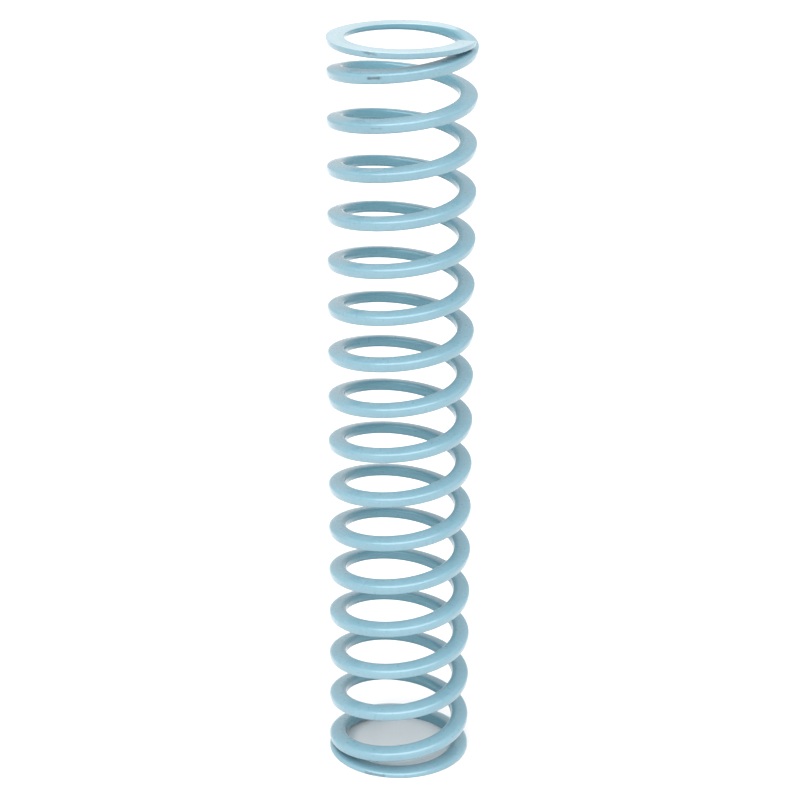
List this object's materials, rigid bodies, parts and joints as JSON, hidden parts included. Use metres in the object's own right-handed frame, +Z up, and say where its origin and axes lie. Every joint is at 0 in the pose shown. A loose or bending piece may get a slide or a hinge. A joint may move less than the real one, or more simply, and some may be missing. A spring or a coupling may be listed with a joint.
{
  "type": "compression coil spring",
  "caption": "Right-handed helical compression spring of leaning rounded-rectangular wire, powder coated, with both ends closed and ground flat; it squeezes along its axis.",
  "frame": {"origin": "centre of the coil axis in the plane of the ground bottom face", "axes": "+Z up along the coil axis to the ground top face, -Y towards the viewer with the lower tip at -X, +X to the right; the wire climbs anticlockwise seen from +Z"},
  "size_m": [0.044, 0.044, 0.231],
  "materials": {
    "coated_wire": "satin light blue powder coat over spring steel, with small chips and rub marks"
  },
  "bodies": {
    "bottom_end_coil": {"bottom_end_coil": "coated_wire"},
    "half_turn_01": {"half_turn_01": "coated_wire"},
    "half_turn_02": {"half_turn_02": "coated_wire"},
    "half_turn_03": {"half_turn_03": "coated_wire"},
    "half_turn_04": {"half_turn_04": "coated_wire"},
    "half_turn_05": {"half_turn_05": "coated_wire"},
    "half_turn_06": {"half_turn_06": "coated_wire"},
    "half_turn_07": {"half_turn_07": "coated_wire"},
    "half_turn_08": {"half_turn_08": "coated_wire"},
    "half_turn_09": {"half_turn_09": "coated_wire"},
    "half_turn_10": {"half_turn_10": "coated_wire"},
    "half_turn_11": {"half_turn_11": "coated_wire"},
    "half_turn_12": {"half_turn_12": "coated_wire"},
    "half_turn_13": {"half_turn_13": "coated_wire"},
    "half_turn_14": {"half_turn_14": "coated_wire"},
    "half_turn_15": {"half_turn_15": "coated_wire"},
    "half_turn_16": {"half_turn_16": "coated_wire"},
    "half_turn_17": {"half_turn_17": "coated_wire"},
    "half_turn_18": {"half_turn_18": "coated_wire"},
    "half_turn_19": {"half_turn_19": "coated_wire"},
    "half_turn_20": {"half_turn_20": "coated_wire"},
    "half_turn_21": {"half_turn_21": "coated_wire"},
    "half_turn_22": {"half_turn_22": "coated_wire"},
    "half_turn_23": {"half_turn_23": "coated_wire"},
    "half_turn_24": {"half_turn_24": "coated_wire"},
    "half_turn_25": {"half_turn_25": "coated_wire"},
    "half_turn_26": {"half_turn_26": "coated_wire"},
    "half_turn_27": {"half_turn_27": "coated_wire"},
    "half_turn_28": {"half_turn_28": "coated_wire"},
    "half_turn_29": {"half_turn_29": "coated_wire"},
    "half_turn_30": {"half_turn_30": "coated_wire"},
    "half_turn_31": {"half_turn_31": "coated_wire"},
    "top_end_coil": {"top_end_coil": "coated_wire"}
  },
  "joints": [
    {"name": "twist_01", "type": "hinge", "parent": "bottom_end_coil", "child": "half_turn_01", "pos_m": [-0.01938, 0, 0.00391], "axis": [0, 1, 0], "range_deg": [0, 7], "stiffness_Nm_per_rad": 56},
    {"name": "twist_02", "type": "hinge", "parent": "half_turn_01", "child": "half_turn_02", "pos_m": [0.01938, 0, 0.0111], "axis": [0, -1, 0], "range_deg": [0, 14], "stiffness_Nm_per_rad": 56},
    {"name": "twist_03", "type": "hinge", "parent": "half_turn_02", "child": "half_turn_03", "pos_m": [-0.01938, 0, 0.01838], "axis": [0, 1, 0], "range_deg": [0, 14], "stiffness_Nm_per_rad": 56},
    {"name": "twist_04", "type": "hinge", "parent": "half_turn_03", "child": "half_turn_04", "pos_m": [0.01938, 0, 0.02566], "axis": [0, -1, 0], "range_deg": [0, 14], "stiffness_Nm_per_rad": 56},
    {"name": "twist_05", "type": "hinge", "parent": "half_turn_04", "child": "half_turn_05", "pos_m": [-0.01938, 0, 0.03293], "axis": [0, 1, 0], "range_deg": [0, 14], "stiffness_Nm_per_rad": 56},
    {"name": "twist_06", "type": "hinge", "parent": "half_turn_05", "child": "half_turn_06", "pos_m": [0.01938, 0, 0.04019], "axis": [0, -1, 0], "range_deg": [0, 14], "stiffness_Nm_per_rad": 56},
    {"name": "twist_07", "type": "hinge", "parent": "half_turn_06", "child": "half_turn_07", "pos_m": [-0.01938, 0, 0.04746], "axis": [0, 1, 0], "range_deg": [0, 14], "stiffness_Nm_per_rad": 56},
    {"name": "twist_08", "type": "hinge", "parent": "half_turn_07", "child": "half_turn_08", "pos_m": [0.01938, 0, 0.05471], "axis": [0, -1, 0], "range_deg": [0, 14], "stiffness_Nm_per_rad": 56},
    {"name": "twist_09", "type": "hinge", "parent": "half_turn_08", "child": "half_turn_09", "pos_m": [-0.01938, 0, 0.06197], "axis": [0, 1, 0], "range_deg": [0, 14], "stiffness_Nm_per_rad": 56},
    {"name": "twist_10", "type": "hinge", "parent": "half_turn_09", "child": "half_turn_10", "pos_m": [0.01938, 0, 0.06922], "axis": [0, -1, 0], "range_deg": [0, 14], "stiffness_Nm_per_rad": 56},
    {"name": "twist_11", "type": "hinge", "parent": "half_turn_10", "child": "half_turn_11", "pos_m": [-0.01938, 0, 0.07647], "axis": [0, 1, 0], "range_deg": [0, 14], "stiffness_Nm_per_rad": 56},
    {"name": "twist_12", "type": "hinge", "parent": "half_turn_11", "child": "half_turn_12", "pos_m": [0.01938, 0, 0.08371], "axis": [0, -1, 0], "range_deg": [0, 14], "stiffness_Nm_per_rad": 56},
    {"name": "twist_13", "type": "hinge", "parent": "half_turn_12", "child": "half_turn_13", "pos_m": [-0.01938, 0, 0.09095], "axis": [0, 1, 0], "range_deg": [0, 14], "stiffness_Nm_per_rad": 56},
    {"name": "twist_14", "type": "hinge", "parent": "half_turn_13", "child": "half_turn_14", "pos_m": [0.01938, 0, 0.09818], "axis": [0, -1, 0], "range_deg": [0, 14], "stiffness_Nm_per_rad": 56},
    {"name": "twist_15", "type": "hinge", "parent": "half_turn_14", "child": "half_turn_15", "pos_m": [-0.01938, 0, 0.10542], "axis": [0, 1, 0], "range_deg": [0, 14], "stiffness_Nm_per_rad": 56},
    {"name": "twist_16", "type": "hinge", "parent": "half_turn_15", "child": "half_turn_16", "pos_m": [0.01938, 0, 0.11264], "axis": [0, -1, 0], "range_deg": [0, 14], "stiffness_Nm_per_rad": 56},
    {"name": "twist_17", "type": "hinge", "parent": "half_turn_16", "child": "half_turn_17", "pos_m": [-0.01938, 0, 0.11987], "axis": [0, 1, 0], "range_deg": [0, 14], "stiffness_Nm_per_rad": 56},
    {"name": "twist_18", "type": "hinge", "parent": "half_turn_17", "child": "half_turn_18", "pos_m": [0.01938, 0, 0.12709], "axis": [0, -1, 0], "range_deg": [0, 14], "stiffness_Nm_per_rad": 56},
    {"name": "twist_19", "type": "hinge", "parent": "half_turn_18", "child": "half_turn_19", "pos_m": [-0.01938, 0, 0.1343], "axis": [0, 1, 0], "range_deg": [0, 14], "stiffness_Nm_per_rad": 56},
    {"name": "twist_20", "type": "hinge", "parent": "half_turn_19", "child": "half_turn_20", "pos_m": [0.01938, 0, 0.14151], "axis": [0, -1, 0], "range_deg": [0, 14], "stiffness_Nm_per_rad": 56},
    {"name": "twist_21", "type": "hinge", "parent": "half_turn_20", "child": "half_turn_21", "pos_m": [-0.01938, 0, 0.14872], "axis": [0, 1, 0], "range_deg": [0, 14], "stiffness_Nm_per_rad": 56},
    {"name": "twist_22", "type": "hinge", "parent": "half_turn_21", "child": "half_turn_22", "pos_m": [0.01938, 0, 0.15592], "axis": [0, -1, 0], "range_deg": [0, 14], "stiffness_Nm_per_rad": 56},
    {"name": "twist_23", "type": "hinge", "parent": "half_turn_22", "child": "half_turn_23", "pos_m": [-0.01938, 0, 0.16312], "axis": [0, 1, 0], "range_deg": [0, 14], "stiffness_Nm_per_rad": 56},
    {"name": "twist_24", "type": "hinge", "parent": "half_turn_23", "child": "half_turn_24", "pos_m": [0.01938, 0, 0.17032], "axis": [0, -1, 0], "range_deg": [0, 14], "stiffness_Nm_per_rad": 56},
    {"name": "twist_25", "type": "hinge", "parent": "half_turn_24", "child": "half_turn_25", "pos_m": [-0.01938, 0, 0.17751], "axis": [0, 1, 0], "range_deg": [0, 14], "stiffness_Nm_per_rad": 56},
    {"name": "twist_26", "type": "hinge", "parent": "half_turn_25", "child": "half_turn_26", "pos_m": [0.01938, 0, 0.1847], "axis": [0, -1, 0], "range_deg": [0, 14], "stiffness_Nm_per_rad": 56},
    {"name": "twist_27", "type": "hinge", "parent": "half_turn_26", "child": "half_turn_27", "pos_m": [-0.01938, 0, 0.19188], "axis": [0, 1, 0], "range_deg": [0, 14], "stiffness_Nm_per_rad": 56},
    {"name": "twist_28", "type": "hinge", "parent": "half_turn_27", "child": "half_turn_28", "pos_m": [0.01938, 0, 0.19906], "axis": [0, -1, 0], "range_deg": [0, 14], "stiffness_Nm_per_rad": 56},
    {"name": "twist_29", "type": "hinge", "parent": "half_turn_28", "child": "half_turn_29", "pos_m": [-0.01938, 0, 0.20624], "axis": [0, 1, 0], "range_deg": [0, 14], "stiffness_Nm_per_rad": 56},
    {"name": "twist_30", "type": "hinge", "parent": "half_turn_29", "child": "half_turn_30", "pos_m": [0.01938, 0, 0.21341], "axis": [0, -1, 0], "range_deg": [0, 14], "stiffness_Nm_per_rad": 56},
    {"name": "twist_31", "type": "hinge", "parent": "half_turn_30", "child": "half_turn_31", "pos_m": [-0.01938, 0, 0.22058], "axis": [0, 1, 0], "range_deg": [0, 12.25], "stiffness_Nm_per_rad": 56},
    {"name": "twist_32", "type": "hinge", "parent": "half_turn_31", "child": "top_end_coil", "pos_m": [0.01938, 0, 0.22774], "axis": [0, -1, 0], "range_deg": [0, 5.25], "stiffness_Nm_per_rad": 56}
  ],
  "couplings": [
    {"joint": "twist_02", "follows": "twist_01", "ratio": 2},
    {"joint": "twist_03", "follows": "twist_01", "ratio": 2},
    {"joint": "twist_04", "follows": "twist_01", "ratio": 2},
    {"joint": "twist_05", "follows": "twist_01", "ratio": 2},
    {"joint": "twist_06", "follows": "twist_01", "ratio": 2},
    {"joint": "twist_07", "follows": "twist_01", "ratio": 2},
    {"joint": "twist_08", "follows": "twist_01", "ratio": 2},
    {"joint": "twist_09", "follows": "twist_01", "ratio": 2},
    {"joint": "twist_10", "follows": "twist_01", "ratio": 2},
    {"joint": "twist_11", "follows": "twist_01", "ratio": 2},
    {"joint": "twist_12", "follows": "twist_01", "ratio": 2},
    {"joint": "twist_13", "follows": "twist_01", "ratio": 2},
    {"joint": "twist_14", "follows": "twist_01", "ratio": 2},
    {"joint": "twist_15", "follows": "twist_01", "ratio": 2},
    {"joint": "twist_16", "follows": "twist_01", "ratio": 2},
    {"joint": "twist_17", "follows": "twist_01", "ratio": 2},
    {"joint": "twist_18", "follows": "twist_01", "ratio": 2},
    {"joint": "twist_19", "follows": "twist_01", "ratio": 2},
    {"joint": "twist_20", "follows": "twist_01", "ratio": 2},
    {"joint": "twist_21", "follows": "twist_01", "ratio": 2},
    {"joint": "twist_22", "follows": "twist_01", "ratio": 2},
    {"joint": "twist_23", "follows": "twist_01", "ratio": 2},
    {"joint": "twist_24", "follows": "twist_01", "ratio": 2},
    {"joint": "twist_25", "follows": "twist_01", "ratio": 2},
    {"joint": "twist_26", "follows": "twist_01", "ratio": 2},
    {"joint": "twist_27", "follows": "twist_01", "ratio": 2},
    {"joint": "twist_28", "follows": "twist_01", "ratio": 2},
    {"joint": "twist_29", "follows": "twist_01", "ratio": 2},
    {"joint": "twist_30", "follows": "twist_01", "ratio": 2},
    {"joint": "twist_31", "follows": "twist_01", "ratio": 1.75},
    {"joint": "twist_32", "follows": "twist_01", "ratio": 0.75}
  ]
}
